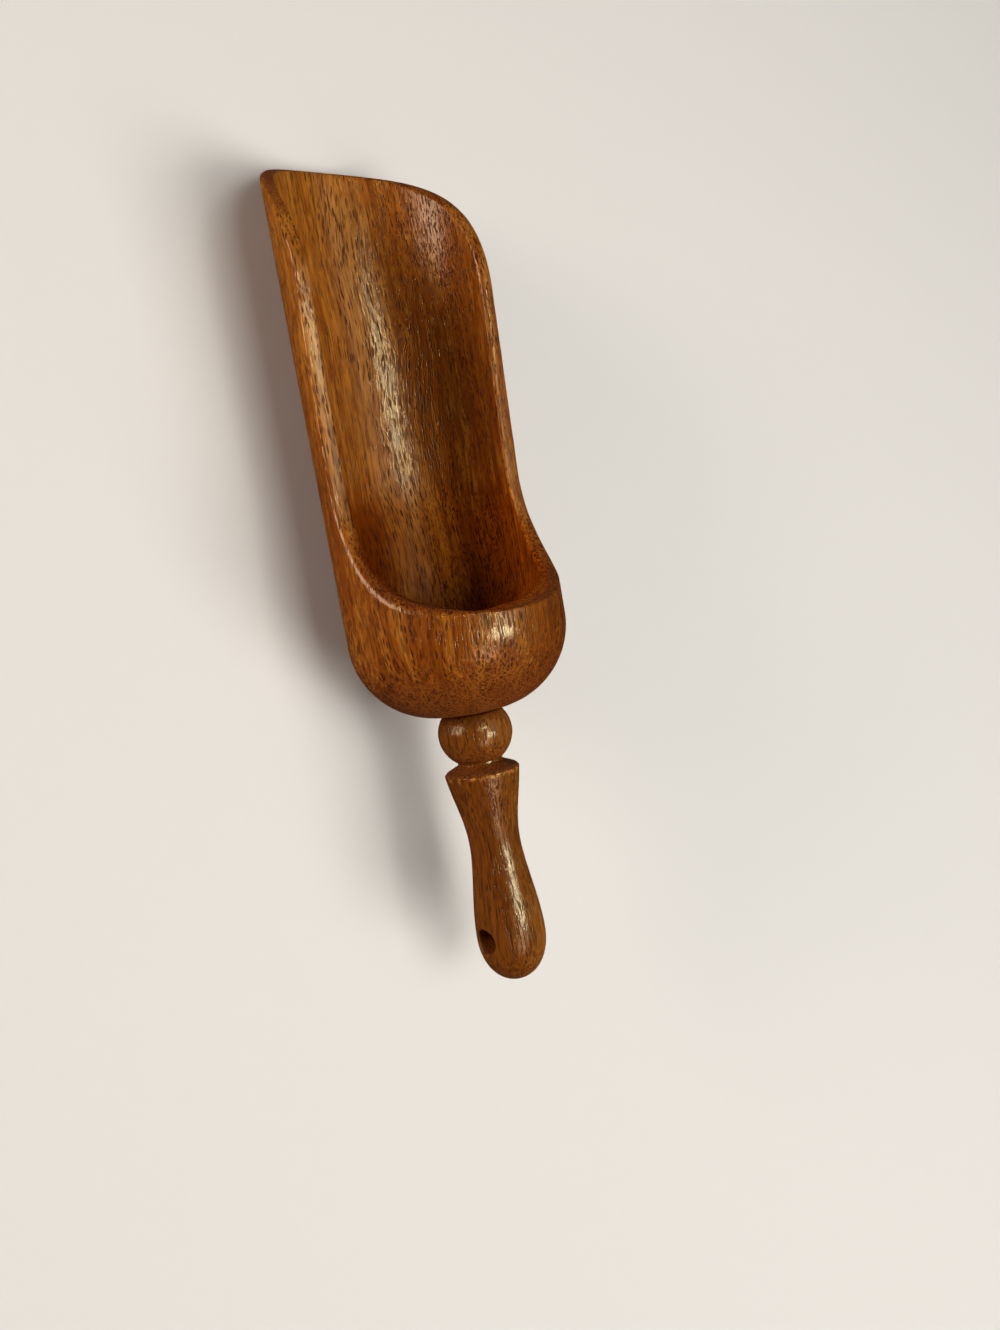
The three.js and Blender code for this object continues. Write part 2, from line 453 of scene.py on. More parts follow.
def rim_rows(out, inner, share, run, side):
    """Rows of points over the rim from outside to inside: an eased edge, a crowned face, an eased edge."""
    outer_easing, inner_easing, crown = (
        along_rim(share, RIM[side][name]) for name in ("outer_easing", "inner_easing", "crown")
    )
    inward = unit(inner - out)
    face = unit(np.cross(inward, rim_direction(out)))
    lean_cos, lean_sin = np.cos(crown)[:, None], np.sin(crown)[:, None]
    outer_face, inner_face = face * lean_cos - inward * lean_sin, face * lean_cos + inward * lean_sin
    outer_skin, inner_skin = skin_normal(out, outer_radius, 1), skin_normal(inner, inner_radius, -1)
    first = eased_edge(out, outer_skin, outer_face, outer_radius, outer_easing * uneven(run, side))
    last = eased_edge(inner, inner_skin, inner_face, inner_radius, inner_easing * uneven(run, side + 5))[::-1]
    across = last[0] - first[-1]
    height = np.tan(crown) * np.linalg.norm(across, axis=1)
    middle = []
    for step in range(1, FACE_ROWS):
        t = step / FACE_ROWS
        rise = height * t * (1 - t)
        if side == RIGHT:
            rise += tool_marks(share, t)
        middle.append(first[-1] + across * t + face * rise[:, None])
    if side == LEFT:
        chip(first, middle, share, unit(outer_skin + outer_face))
    return first + middle + last


def chip(edge_rows, face_rows, share, outward):
    """Presses one small chip into the rim's outer edge and the face beside it."""
    dent = CHIP_DEPTH * np.clip(1 - np.abs(share - CHIP_AT) / CHIP_REACH, 0, 1)[:, None]
    deepest = edge_rows[CHIP_ROW].copy()
    for row in edge_rows[1:] + face_rows:
        gap = np.linalg.norm(row - deepest, axis=1)[:, None]
        row -= outward * dent * np.clip(1 - gap / CHIP_BREADTH, 0, 1)


def worn(out, share):
    """The left outer edge, worn down along the side so that the rim's face leans outwards."""
    angles = angles_of(out) + along_rim(share, LEFT_WEAR) / BOWL_RADIUS
    return spun(out[:, 0], outer_radius(out[:, 0]), angles)


def tool_marks(share, t):
    """Height of a cutter's marks on the lip's face at t across it, as slanting waves and roughness."""
    fade = np.clip((TOOL_MARK_END - share) / TOOL_MARK_FADE, 0, 1) * math.sin(math.pi * t) ** 0.5
    waves = np.sin(TOOL_WAVES[0] * t + TOOL_WAVES[1] * share)
    roughness = [noise.noise((TOOL_ROUGHNESS[1] * s, TOOL_ROUGHNESS[0] * t, 3)) for s in share]
    return TOOL_MARK_HEIGHT * fade * (waves + roughness)


def wall_row(start_x, from_angles, edge, radius, t):
    """A row of points between a start circle and an edge row, on straight lines of the unrolled surface."""
    x = start_x + (edge[:, 0] - start_x) * t
    return spun(x, radius(x), from_angles + (angles_of(edge) - from_angles) * t)


def start_angles(run):
    """Angles on the start circles, spread so that the lines to the rim never cross."""
    places, degrees = np.array(START_SPREAD).T
    return np.radians(np.interp(run / run[-1], places, degrees))


def base_rings(angles):
    """Rings of the bowl's base, from the socket's bottom out to the start circle."""
    radius, depth = TENON_RADIUS + GLUE_GAP, TENON_LENGTH + GLUE_GAP
    few, some = RIM_COLUMNS // 8, RIM_COLUMNS // 4
    crown, (knuckle_x, knuckle_r) = crown_centre(), knuckle_centre()
    crown_start = math.asin(SEAT_RADIUS / CROWN_RADIUS)
    crown_end = math.asin(knuckle_r / (CROWN_RADIUS - KNUCKLE_RADIUS))
    knuckle_end = math.acos((knuckle_x - START_OUTSIDE) / KNUCKLE_RADIUS)
    rings = [(depth, 0.0, 1), (depth, radius * 0.3, few // 4), (depth, radius * 0.6, few // 2)]
    bottom = [(depth, radius * 0.8, 0), (depth, radius, SOCKET_EASING), (depth * 0.9, radius, 0)]
    rings += [(x, r, few) for x, r in eased(bottom)]
    rings += [(depth * share, radius, few) for share in (0.7, 0.5, 0.3, 0.15)]
    seat = [(0.6, radius, 0), (0, radius, SOCKET_MOUTH_EASING), (0, SEAT_RADIUS, SEAT_EASING)]
    on_crown = (0.35, SEAT_RADIUS + 2.6, 0)
    rings += [(x, r, some) for x, r in eased(seat + [on_crown])[:-1]]
    start, bend, end = math.pi - crown_start - PAST_SEAT, math.pi - crown_end, math.pi - knuckle_end
    rings += [(x, r, some) for x, r in arc(crown, 0, CROWN_RADIUS, start, bend, 2)]
    for x, r in arc(knuckle_x, knuckle_r, KNUCKLE_RADIUS, bend, end, KNUCKLE_ROWS)[1:]:
        rings.append((x, r, fewer(RIM_COLUMNS, r, KNUCKLE_HALVINGS)))
    return [spun(x, r, angles[::RIM_COLUMNS // columns]) for x, r, columns in rings]


def floor_rings(angles):
    """Rings of the bore's floor, from the start circle in to its middle."""
    first = math.acos((FLOOR_DEPTH + FLOOR_ROUNDING - START_INSIDE) / FLOOR_ROUNDING)
    rings = []
    for angle in np.linspace(first, 0, FLOOR_ROWS)[1:]:
        x = FLOOR_DEPTH + FLOOR_ROUNDING * (1 - math.cos(angle))
        r = BORE_RADIUS * math.sin(angle)
        rings.append(spun(x, r, angles[::RIM_COLUMNS // fewer(RIM_COLUMNS, r, FLOOR_HALVINGS)]))
    return rings


def bowl_half(side):
    """Rows of points over one half of the bowl's walls and rim, from outside to inside."""
    cut = Cut()
    outer, inner = cut.edge(outer_radius), cut.edge(inner_radius)
    share = np.linspace(0, 1, RIM_COLUMNS // 2 + 1)
    run = share * runs(outer)[-1]
    out = along(outer, runs(outer), run)
    if side == LEFT:
        out = worn(out, share)
    inner = partners(out, inner, along_rim(share, RIM[side]["square"]))
    rim = rim_rows(out, inner, share, run, side)
    out_angles, in_angles = start_angles(runs(out)), start_angles(runs(inner))
    steps = 1 - (1 - np.linspace(0, 1, WALL_ROWS + 1)) ** WALL_GRADING
    rows = [wall_row(START_OUTSIDE, out_angles, rim[0], outer_radius, t) for t in steps[:-1]] + rim
    rows += [wall_row(START_INSIDE, in_angles, rim[-1], inner_radius, t) for t in steps[-2::-1]]
    return [row * [1, side, 1] for row in rows]


def bowl_skin():
    """The bowl's skin: socket, seat and dome, outer wall, rim, inner wall and floor."""
    rings = [np.vstack([left, right[-2:0:-1]]) for left, right in zip(bowl_half(LEFT), bowl_half(RIGHT))]
    outside, inside = (np.unwrap(angles_of(ring)) for ring in (rings[0], rings[-1]))
    skin = Skin()
    for ring in base_rings(outside) + rings[1:] + floor_rings(inside):
        skin.ring(ring)
    return skin


# Handle

# How finely the handle is divided. A window in its skin holds each mouth of the hanging hole.
HANDLE_COLUMNS = 96
HANDLE_HALVINGS = (4.0, 2.0, 1.0)
BEAD_ROWS = 30
CONE_ROWS = 28
SWELL_ROWS = 30
END_ROWS = 26
WINDOW_COLUMNS = 9
WINDOW_REACH = 4.8
MOUTH_ROWS = 4
TUBE_ROWS = 8

# The least step from the collar's eased edge to the cone's next ring.
CONE_GAP = 0.2

# How far the handle's corners and the hole's mouths are eased.
TENON_EASING = 0.2
SHOULDER_EASING = 0.15
BEAD_EASING = 0.3
COLLAR_FACE_EASING = 0.35
MOUTH_EASING = 0.45


def handle_profile():
    """The handle's profile (x, radius), from the tenon's end to the round end of the grip."""
    shoulder = math.acos((BEAD_CENTRE - GLUE_GAP) / BEAD_HALF_LENGTH)
    neck = math.acos((BEAD_CENTRE - GROOVE_START) / BEAD_HALF_LENGTH)
    corners = [
        (TENON_LENGTH, 0, 0),
        (TENON_LENGTH, TENON_RADIUS - TENON_CHAMFER, TENON_EASING),
        (TENON_LENGTH - TENON_CHAMFER, TENON_RADIUS, TENON_EASING),
        (-GLUE_GAP, TENON_RADIUS, SHOULDER_EASING),
    ]
    for angle in np.linspace(shoulder, neck, BEAD_ROWS):
        easing = BEAD_EASING if angle in (shoulder, neck) else 0
        x = BEAD_HALF_LENGTH * math.cos(angle) - BEAD_CENTRE
        corners.append((x, BEAD_RADIUS * math.sin(angle), easing))
    neck_radius = corners[-1][1]
    corners += [
        (-GROOVE_END, neck_radius, BEAD_EASING),
        (-COLLAR_START, COLLAR_FACE_RADIUS, COLLAR_FACE_EASING),
        (-COLLAR_EDGE, COLLAR_RADIUS, BEAD_EASING),
        (-COLLAR_EDGE - 1, COLLAR_RADIUS - CONE_FALL / CONE_RUN, 0),
    ]
    front = eased(corners)[:-1]
    cone = bezier(
        (-COLLAR_EDGE, COLLAR_RADIUS), (-COLLAR_EDGE - CONE_RUN, COLLAR_RADIUS - CONE_FALL),
        (-WAIST_AT + WAIST_RUN, WAIST_RADIUS), (-WAIST_AT, WAIST_RADIUS), CONE_ROWS,
    )
    swell = bezier(
        (-WAIST_AT, WAIST_RADIUS), (-WAIST_AT - WAIST_RUN, WAIST_RADIUS),
        (-GRIP_AT + GRIP_RUN, GRIP_RADIUS), (-GRIP_AT, GRIP_RADIUS), SWELL_ROWS,
    )
    end = bezier(
        (-GRIP_AT, GRIP_RADIUS), (-GRIP_AT - END_RUN, GRIP_RADIUS),
        (-HANDLE_LENGTH, END_FLATNESS * GRIP_RADIUS), (-HANDLE_LENGTH, 0), END_ROWS,
    )
    cone = [point for point in cone if point[0] < front[-1][0] - CONE_GAP]
    return front + cone + swell[1:] + end[1:]


def handle_skin():
    """The handle's skin: the turned profile, with a drilled hole across the grip."""
    skin = Skin()
    profile = handle_profile()
    turn = 2 * math.pi / HANDLE_COLUMNS
    angles = HOLE_TURN + turn * np.arange(HANDLE_COLUMNS)
    grid = []
    for x, r in profile:
        columns = fewer(HANDLE_COLUMNS, r, HANDLE_HALVINGS)
        some = angles[::HANDLE_COLUMNS // columns]
        ring = np.column_stack([np.full(columns, x), r * np.cos(some), r * np.sin(some)])
        grid.append(skin.ring(ring))
    drill_hole(skin, profile, grid)
    return skin


class Hole:
    """The hanging hole's own directions, and points on the grip's skin round its left mouth.

    A flat point is one seen along the hole: how far it is from the hole's middle along and across the grip.
    """

    def __init__(self, profile):
        self.through = np.array([0, math.cos(HOLE_TURN), math.sin(HOLE_TURN)])
        self.across = np.array([0, -math.sin(HOLE_TURN), math.cos(HOLE_TURN)])
        self.xs, self.rs = np.array(sorted(profile)).T

    def grip_radius(self, x):
        """The grip's radius at x."""
        return np.interp(x, self.xs, self.rs)

    def flat(self, points):
        """Flat points of points in space."""
        return np.column_stack([points[:, 0] + HOLE_AT, points @ self.across])

    def on_grip(self, flat):
        """Flat points put on the grip's skin."""
        x = flat[:, 0] - HOLE_AT
        heights = np.sqrt(self.grip_radius(x) ** 2 - flat[:, 1] ** 2)
        return np.outer(x, [1, 0, 0]) + np.outer(flat[:, 1], self.across) + np.outer(heights, self.through)

    def mouth(self, outline):
        """Rows of points from the window's outline, over the eased mouth, to the hole's wall."""
        flat = self.flat(outline)
        spokes = unit(flat)
        top = self.on_grip(spokes * HOLE_RADIUS)
        wall = -(np.outer(spokes[:, 0], [1, 0, 0]) + np.outer(spokes[:, 1], self.across))
        rows = rounding(top, skin_normal(top, self.grip_radius, 1), wall, MOUTH_EASING, MOUTH_ROWS)
        lip = self.flat(rows[0])
        return [self.on_grip(flat + (lip - flat) * t) for t in (0.25, 0.5, 0.75)] + rows


def drill_hole(skin, profile, grid):
    """Cuts a window round each mouth of the hanging hole and closes both with the mouths and the wall."""
    hole = Hole(profile)
    windows = cut_windows(skin, profile, grid)
    rows = hole.mouth(np.array([skin.points[number] for number in windows[0]]))
    mirror = np.eye(3) - 2 * np.outer(hole.through, hole.through)
    ends = []
    for side, ring in zip((LEFT, RIGHT), windows):
        for row in rows:
            numbers = skin.add(row if side == LEFT else row @ mirror)
            skin.link(*(ring, numbers)[::side])
            ring = numbers
        ends.append(ring)
    skin.last = ends[0]
    for step in range(1, TUBE_ROWS):
        skin.ring(rows[-1] + (rows[-1] @ mirror - rows[-1]) * step / TUBE_ROWS)
    skin.link(skin.last, ends[1])


def cut_windows(skin, profile, grid):
    """Takes the faces round the two mouths away and gives the points round the left and right window."""
    rows = [i for i, (x, _) in enumerate(profile) if abs(x + HOLE_AT) <= WINDOW_REACH]
    first, last = rows[0], rows[-1]
    opposite = HANDLE_COLUMNS // 2
    gone = set()
    for row in range(first, last):
        for column in range(-WINDOW_COLUMNS, WINDOW_COLUMNS):
            for start in (column, opposite - column - 1):
                j, k = start % HANDLE_COLUMNS, (start + 1) % HANDLE_COLUMNS
                gone.add((grid[row][j], grid[row + 1][j], grid[row + 1][k], grid[row][k]))
    skin.faces = [face for face in skin.faces if face not in gone]
    loop = window_loop(first, last)
    left = [grid[row][column % HANDLE_COLUMNS] for row, column in loop]
    right = [grid[row][(opposite - column) % HANDLE_COLUMNS] for row, column in loop]
    return left, right


def window_loop(first, last):
    """The window's boundary as (row, column) pairs, in the turning sense that keeps its faces outwards."""
    loop = [(first, column) for column in range(-WINDOW_COLUMNS, WINDOW_COLUMNS)]
    loop += [(row, WINDOW_COLUMNS) for row in range(first, last)]
    loop += [(last, column) for column in range(WINDOW_COLUMNS, -WINDOW_COLUMNS, -1)]
    loop += [(row, -WINDOW_COLUMNS) for row in range(last, first, -1)]
    return loop


# Materials

# Varnish. A share of the gloss is left where it is worn thin and in open pores.
GLOSS = 0.33
GLOSS_TINT = (1.0, 0.95, 0.65, 1)
BARE_GLOSS = 0.15
PORE_GLOSS = 0.3
ROUGHNESS = (0.13, 0.2)
PORE_ROUGHNESS = 0.2
END_ROUGHNESS = 0.25
# Painted shade: the colour reddened deep in the cup, as light bounced round the hollow colours it.
RED_PAINTED_SHADE = (1.1, 0.87, 0.5)

# Growth rings: how little they change along the grain, and how many there are in a millimetre.
RING_TAPER = 0.05
RING_DENSITY = 0.25

# The rest of the figure as noise: features per millimetre along the grain and across it both ways, detail,
# roughness and, for the crossed figure, distortion.
RIBBON = ((0.012, 0.25, 0.25), 3.0, 0.55)
CROSSED = ((0.16, 0.45, 0.45), 3.0, 0.6, 0.6)
FIBRE = ((0.035, 1.5, 1.5), 3.0, 0.6)
FINE_FIBRE = ((0.07, 4.0, 4.0), 2.0, 0.6)
PORE_CROWD = ((0.03, 0.3, 0.3), 2.0, 0.5)
LONG_LINE = ((0.012, 1.3, 1.3), 2.0, 0.5)
EDGE_FLECK = ((0.7, 0.9, 0.9), 3.0, 0.6)
SWAY = (0.02, 0.03, 0.03)

# How strongly each part changes the tone, and how much of that is left in the end grain.
RING_TONE = 0.38
RIBBON_TONE = 0.5
FIBRE_TONE = 0.55
FINE_TONE = 0.4
END_CONTRAST = 0.35

# Where noise turns to crowded pores, to long lines and to flecks, and how dark sparse and crowded pores are.
CROWDED = (0.35, 0.6)
CROWD_DARKNESS = (0.55, 0.95)
LINED = (0.54, 0.64)
FLECKED = (0.48, 0.56)

# How far the surface has to face along the grain to be end grain, and to show pores as spots.
END_GRAIN = (0.25, 0.85)
SPOTTED = (0.2, 0.5)

# Kinds of open pore: how densely they lie along each axis, and how wide they are.
COARSE_PORES = ((0.2, 1.3, 1.3), 0.35)
SMALL_PORES = ((0.1, 2.2, 2.2), 0.33)
DOTS = ((0.6, 1.7, 1.7), 0.38)
DASHES = ((0.26, 1.05, 1.05), 0.37)
END_SPOTS = ((0.07, 1.45, 1.45), 0.4)

# Relief in millimetres.
PORE_DEPTH = 0.04
FIBRE_HEIGHT = 0.05

# Where the bowl's wood and its painted light and shade change, as ranges in the frame in millimetres: x along
# the scoop and y to its left.
TOWARDS_RIGHT = (4.0, -22.0)
DOTTED_RIGHT = (-2.0, -14.0)
CUT_RIGHT = (0.0, -12.0)
LOW_RIGHT = (-14.0, -21.0)
LOW_LEFT = (-3.0, 8.0)
TOWARDS_LEFT = (8.0, 22.0)
OUTER_LEFT = (23.8, 26.0)
BORE_REACH = (25.6, 24.4)
BASE = (-2.0, -10.0)
CUP_FLOOR = (-2.0, -9.0)
CUP_SIDES = (30.0, 8.0)
THIN_VARNISH = (29.0, 13.0)
RED_CUP = (46.0, 6.0)

# Where the handle's wood and its painted light, shade and glints change, as ranges in the scoop's own axes.
COLLAR_FACE = (-13.5, -14.5)
COLLAR_EDGE_FRONT = (-14.6, -15.2)
COLLAR_EDGE_BACK = (-17.0, -15.7)
ON_BEAD = (-13.5, -11.5)
ON_GRIP = (-45.0, -60.0)
HANDLE_SIDES = (-9.0, 9.0)

# How much the tone changes in those places, and in each millimetre towards the tip.
# Paler towards the tip: partly the board's own tone, partly a painted gradient of light.
TONE_TIP = 0.0018
# Darker to the right: partly the wood's own tone, partly painted shade.
TONE_RIGHT = -0.14
# Paler on the right rim's face: painted light for its sheen.
TONE_RIGHT_CUT = 0.2
# Darker to the left: painted shade.
TONE_PAINTED_LEFT_SHADE = -0.1
# Paler on the left outside: painted light.
TONE_PAINTED_LEFT_LIGHT = 0.1
TONE_BASE = 0.08
# Lighter in the cup: painted light bounced round the hollow.
TONE_PAINTED_CUP_LIGHT = 0.25
# Darker low on the cup's sides: a painted shadow, with LOW_RIGHT_SHARE of it on the right.
TONE_PAINTED_CUP_SHADOW = -0.5
LOW_RIGHT_SHARE = 0.4
TONE_FACE = -0.3
# Pale flecks on the collar's edge: painted glints.
TONE_PAINTED_GLINTS = 0.6
# The handle's right paler and its left darker: painted light and shade.
TONE_HANDLE_PAINTED_LIGHT = 0.16
TONE_HANDLE_PAINTED_SHADE = -0.22
TONE_HANDLE_ENDS = 0.1

# How much rougher the varnish is on the cut, on the cup's floor and on the collar's face.
DULL_CUT = 0.06
DULL_FLOOR = 0.35
DULL_FACE = 0.2


class Nodes:
    """The nodes of a material or world, filled by short calls."""

    def __init__(self, owner):
        owner.use_nodes = True
        self.tree = owner.node_tree
        self.tree.nodes.clear()

    def add(self, kind, inputs=None, **settings):
        """Adds a node, sets its properties, and sets or links its inputs, given by name or number."""
        node = self.tree.nodes.new(kind)
        for name, value in settings.items():
            setattr(node, name, value)
        for name, value in (inputs or {}).items():
            self.put(node.inputs[name], value)
        return node

    def put(self, socket, value):
        """Links a socket to another one's value, or sets it."""
        if isinstance(value, bpy.types.NodeSocket):
            self.tree.links.new(value, socket)
        else:
            socket.default_value = value

    def maths(self, operation, *values):
        """A number worked out from others."""
        return self.add("ShaderNodeMath", dict(enumerate(values)), operation=operation).outputs[0]

    def times(self, first, second):
        """One number times another."""
        return self.maths("MULTIPLY", first, second)

    def vector(self, operation, *values):
        """A vector, or a length or product, worked out from vectors."""
        node = self.add("ShaderNodeVectorMath", dict(enumerate(values)), operation=operation)
        return node.outputs["Value" if operation in ("LENGTH", "DOT_PRODUCT") else "Vector"]

    def parts(self, vector):
        """The x, y and z of a vector."""
        return self.add("ShaderNodeSeparateXYZ", {"Vector": vector}).outputs[:3]

    def field(self, place, density, detail, roughness, distortion=0.0):
        """Noise about 0.5."""
        inputs = {
            "Vector": self.vector("MULTIPLY", place, density), "Scale": 1.0, "Detail": detail,
            "Roughness": roughness, "Distortion": distortion,
        }
        return self.add("ShaderNodeTexNoise", inputs).outputs[0]

    def streaks(self, distance, density):
        """Uneven bands along a distance."""
        inputs = {"W": self.times(distance, density), "Scale": 1.0, "Detail": 2.0, "Roughness": 0.55}
        return self.add("ShaderNodeTexNoise", inputs, noise_dimensions="1D").outputs[0]

    def stretch(self, value, low, high, to_low=0.0, to_high=1.0, smooth=True):
        """A value spread from one range to another, and held at its ends."""
        inputs = {"Value": value, "From Min": low, "From Max": high, "To Min": to_low, "To Max": to_high}
        kind = "SMOOTHSTEP" if smooth else "LINEAR"
        return self.add("ShaderNodeMapRange", inputs, interpolation_type=kind).outputs[0]

    def varied(self, tone, parts):
        """A tone changed by parts, each as (a field about 0.5, its weight)."""
        for part, weight in parts:
            tone = self.maths("MULTIPLY_ADD", self.maths("SUBTRACT", part, 0.5), weight, tone)
        return tone

    def mix(self, factor, first, second, blend="MIX"):
        """The second colour mixed into the first, or multiplied by it."""
        node = self.add("ShaderNodeMix", {"Factor": factor}, data_type="RGBA", blend_type=blend)
        for socket, value in zip([s for s in node.inputs if s.type == "RGBA"], (first, second)):
            self.put(socket, value)
        return next(s for s in node.outputs if s.type == "RGBA")

    def shaded(self, factor, colour, shade):
        """A colour multiplied by a shade where the factor is 1."""
        return self.mix(factor, colour, self.mix(1.0, colour, (*shade, 1), "MULTIPLY"))

    def colours(self, factor, tones):
        """A ramp of evenly spaced colours."""
        node = self.add("ShaderNodeValToRGB", {"Fac": factor})
        ramp = node.color_ramp
        while len(ramp.elements) > 1:
            ramp.elements.remove(ramp.elements[-1])
        ramp.elements[0].position = 0.0
        ramp.elements[0].color = (*tones[0], 1)
        for i, tone in enumerate(tones[1:], 1):
            ramp.elements.new(i / (len(tones) - 1)).color = (*tone, 1)
        return node.outputs[0]


def wood(name, marks, tones, pore, end_shade, shift, pith, wander, roe, lines, run):
    """Solid varnished wood with its grain along x: rings about a pith, ribbons, roe, fibres and open pores.

    marks(n, place, normal) gives what is special to a piece: a change of tone, partly painted light and
    shade, how many pores are dots and dashes, an added roughness, how far the colour is reddened as painted
    shade and how little varnish is left. tones are the dark, middle and light colours, pore is the open
    pores' colour and end_shade multiplies the end grain's colour.
    In millimetres, shift moves the figure, pith is the rings' centre and wander is how far the grain strays.
    roe and lines are how strong the crossed figure and the long dark lines are, run is the pores' length.
    """
    material = bpy.data.materials.new(name)
    n = Nodes(material)
    here = n.add("ShaderNodeTexCoord")
    place = n.vector("MULTIPLY", here.outputs["Object"], (1 / MM,) * 3)
    normal = here.outputs["Normal"]
    drift, short, dashed, dull, red, bare = marks(n, place, normal)
    grain = strayed(n, n.vector("ADD", place, shift), wander)
    fibre, fine = n.field(grain, *FIBRE), n.field(grain, *FINE_FIBRE)
    steep = n.maths("ABSOLUTE", n.parts(normal)[0])
    end_grain = n.stretch(steep, *END_GRAIN)
    tone = n.maths("ADD", figure(n, grain, pith, roe), drift)
    tone = n.varied(tone, ((fibre, FIBRE_TONE), (fine, FINE_TONE)))
    tone = n.times(tone, n.stretch(end_grain, 0.0, 1.0, 1.0, END_CONTRAST))
    colour = n.colours(n.stretch(tone, -0.5, 0.5, smooth=False), tones)
    colour = n.shaded(end_grain, colour, end_shade)
    colour = n.shaded(red, colour, RED_PAINTED_SHADE)
    pores = open_pores(n, grain, run, short, dashed, n.stretch(steep, *SPOTTED))
    colour = n.mix(darkness(n, grain, pores, lines), colour, (*pore, 1))
    rough = n.maths("MULTIPLY_ADD", pores, PORE_ROUGHNESS, n.stretch(fine, 0.3, 0.7, *ROUGHNESS))
    rough = n.maths("ADD", n.maths("MULTIPLY_ADD", end_grain, END_ROUGHNESS, rough), dull)
    gloss = n.stretch(bare, 0.0, 1.0, GLOSS, BARE_GLOSS * GLOSS)
    gloss = n.times(gloss, n.stretch(pores, 0.0, 1.0, 1.0, PORE_GLOSS))
    shader = n.add("ShaderNodeBsdfPrincipled", {
        "Base Color": colour, "Roughness": rough, "Normal": relief(n, pores, fine, fibre),
        "Specular IOR Level": gloss, "Specular Tint": GLOSS_TINT,
    })
    n.add("ShaderNodeOutputMaterial", {"Surface": shader.outputs[0]})
    return material


def darkness(n, grain, pores, lines):
    """How dark the pores, which crowd in places, and the long lines are."""
    crowd = n.stretch(n.field(grain, *PORE_CROWD), *CROWDED, *CROWD_DARKNESS)
    long_lines = n.stretch(n.field(grain, *LONG_LINE), *LINED)
    return n.maths("MAXIMUM", n.times(pores, crowd), n.times(long_lines, lines))


def relief(n, pores, fine, fibre):
    """The surface's normals, with sunken pores and raised fibres."""
    height = n.maths("MULTIPLY_ADD", pores, -PORE_DEPTH, n.times(fine, FIBRE_HEIGHT))
    height = n.maths("MULTIPLY_ADD", fibre, FIBRE_HEIGHT, height)
    return n.add("ShaderNodeBump", {"Height": height, "Strength": 1.0, "Distance": MM}).outputs[0]


def strayed(n, place, wander):
    """The place in the wood, swayed a little off the straight grain."""
    slow = n.vector("MULTIPLY", place, SWAY)
    sway = n.add("ShaderNodeTexNoise", {"Vector": slow, "Scale": 1.0, "Detail": 1.0})
    sway = n.vector("SUBTRACT", sway.outputs["Color"], (0.5, 0.5, 0.5))
    return n.vector("ADD", place, n.vector("MULTIPLY", sway, (0.0, wander, wander)))


def figure(n, grain, pith, roe):
    """The tone of the growth rings, the ribbons and the crossed roe figure, about 0."""
    spoke = n.vector("MULTIPLY", n.vector("SUBTRACT", grain, pith), (RING_TAPER, 1.0, 1.0))
    rings = n.streaks(n.vector("LENGTH", spoke), RING_DENSITY)
    parts = ((rings, RING_TONE), (n.field(grain, *RIBBON), RIBBON_TONE), (n.field(grain, *CROSSED), roe))
    return n.varied(0.0, parts)


def vessels(n, grain, kind, run=1.0):
    """Thin vessels along the grain, cut by the surface: 1 in a pore and 0 beside it."""
    (lengthwise, *crosswise), width = kind
    place = n.vector("MULTIPLY", grain, (lengthwise / run, *crosswise))
    cells = n.add("ShaderNodeTexVoronoi", {"Vector": place, "Scale": 1.0, "Randomness": 1.0})
    return n.stretch(cells.outputs["Distance"], width * 0.55, width, 1.0, 0.0)


def open_pores(n, grain, run, short, dashed, ends):
    """Pores along the grain, coarse and small, with dots, dashes and spots where their factors say."""
    pores = n.maths("MAXIMUM", vessels(n, grain, COARSE_PORES, run), vessels(n, grain, SMALL_PORES, run))
    for kind, factor in ((DOTS, short), (DASHES, dashed), (END_SPOTS, ends)):
        pores = n.maths("MAXIMUM", pores, n.times(vessels(n, grain, kind), factor))
    return pores


def bowl_surfaces(n, place, normal):
    """How far the surface faces away from the axis, and whether it is the cut's face or the bore's."""
    spoke = n.vector("MULTIPLY", n.vector("SUBTRACT", place, (0, 0, SEAT.z / MM)), (0, 1, 1))
    reach = n.vector("LENGTH", spoke)
    forward = n.parts(normal)[0]
    outward = n.maths("DIVIDE", n.vector("DOT_PRODUCT", normal, spoke), reach)
    cut = n.stretch(n.maths("ABSOLUTE", outward), 0.45, 0.75, 1.0, 0.0)
    cut = n.times(cut, n.stretch(forward, -0.5, -0.2))
    inside = n.stretch(n.maths("SUBTRACT", forward, outward), 0.2, 0.6)
    inside = n.times(inside, n.stretch(reach, *BORE_REACH))
    return outward, cut, inside


